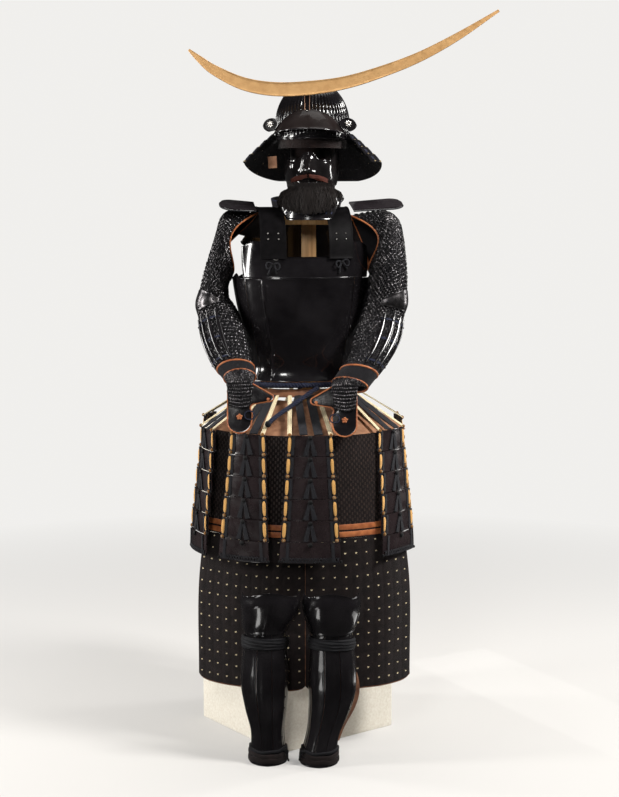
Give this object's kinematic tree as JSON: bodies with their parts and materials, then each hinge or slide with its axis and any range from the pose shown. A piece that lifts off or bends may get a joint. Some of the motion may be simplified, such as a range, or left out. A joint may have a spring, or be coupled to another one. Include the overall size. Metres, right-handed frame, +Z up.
{
  "type": "samurai armour on a plinth and display stand",
  "caption": "Laced samurai armour with crescent-crested helmet, face mask, plate cuirass, mail sleeves, skirt, thigh guard and shin guards, set up on a cloth-covered plinth with a post.",
  "frame": {"origin": "on the floor under the middle of the helmet and post, inside the plinth's underside", "axes": "+Z up, -Y out of the armour's front, +X to the wearer's left"},
  "size_m": [0.8178, 0.7315, 1.9545],
  "materials": {
    "lacquer": "near-black glossy lacquer on iron and rawhide plates",
    "mail": "blackened iron mail on dark cloth",
    "navy_cord": "dark navy braided silk and cotton cord",
    "gilt": "aged dull gilding",
    "leather": "orange-brown piping and yoke leather",
    "hair": "coarse reddish-brown hair",
    "linen": "unbleached linen, plain weave",
    "wood": "light planed softwood",
    "dark_cloth": "dark brown-black hemp and cotton cloth",
    "lining": "dark red padded lining cloth"
  },
  "bodies": {
    "root": {"plinth": "linen", "stand_post": "wood", "stand_shoulder_bar": "wood", "stand_head_block": "lining", "chest_plate": "lacquer", "front_plate": "lacquer", "side_plate_left": "lacquer", "side_plate_right_front": "lacquer", "side_plate_right_back": "lacquer", "back_plate": "lacquer", "strap_left": "lacquer", "strap_right": "lacquer", "collar": "dark_cloth", "shoulder_wing_left": "lacquer", "shoulder_wing_right": "lacquer", "waist_cord": "navy_cord", "cord_tail": "navy_cord", "tasset_front": "lacquer", "tasset_front_right": "lacquer", "tasset_side_right": "lacquer", "tasset_back_side_right": "lacquer", "tasset_back_right": "lacquer", "tasset_back": "lacquer", "tasset_back_left": "lacquer", "tasset_side_left": "lacquer", "tasset_front_left": "lacquer", "tasset_laces": "navy_cord", "thigh_yoke": "leather", "thigh_cloth_left": "dark_cloth", "thigh_cloth_right": "dark_cloth", "thigh_plates_left": "dark_cloth", "thigh_plates_right": "dark_cloth", "sleeve_left": "mail", "sleeve_right": "mail", "elbow_plate_left": "lacquer", "elbow_plate_right": "lacquer", "forearm_splints_left": "lacquer", "forearm_splints_right": "lacquer", "hand_plate_left": "lacquer", "hand_plate_right": "lacquer", "helmet_bowl": "lacquer", "helmet_lining": "lining", "visor": "lacquer", "neck_guard_1": "lacquer", "neck_guard_2": "lacquer", "neck_guard_3": "lacquer", "neck_guard_4": "lacquer", "helmet_wing_left": "lacquer", "helmet_wing_right": "lacquer", "fore_crest": "gilt", "crest_stem": "lacquer", "face_mask": "lacquer", "whiskers": "hair", "throat_guard": "lacquer", "shin_guard_left": "lacquer", "shin_guard_right": "lacquer", "knee_guard_left": "lacquer", "knee_guard_right": "lacquer", "shin_tie_left": "navy_cord", "shin_tie_right": "navy_cord"}
  },
  "joints": []
}
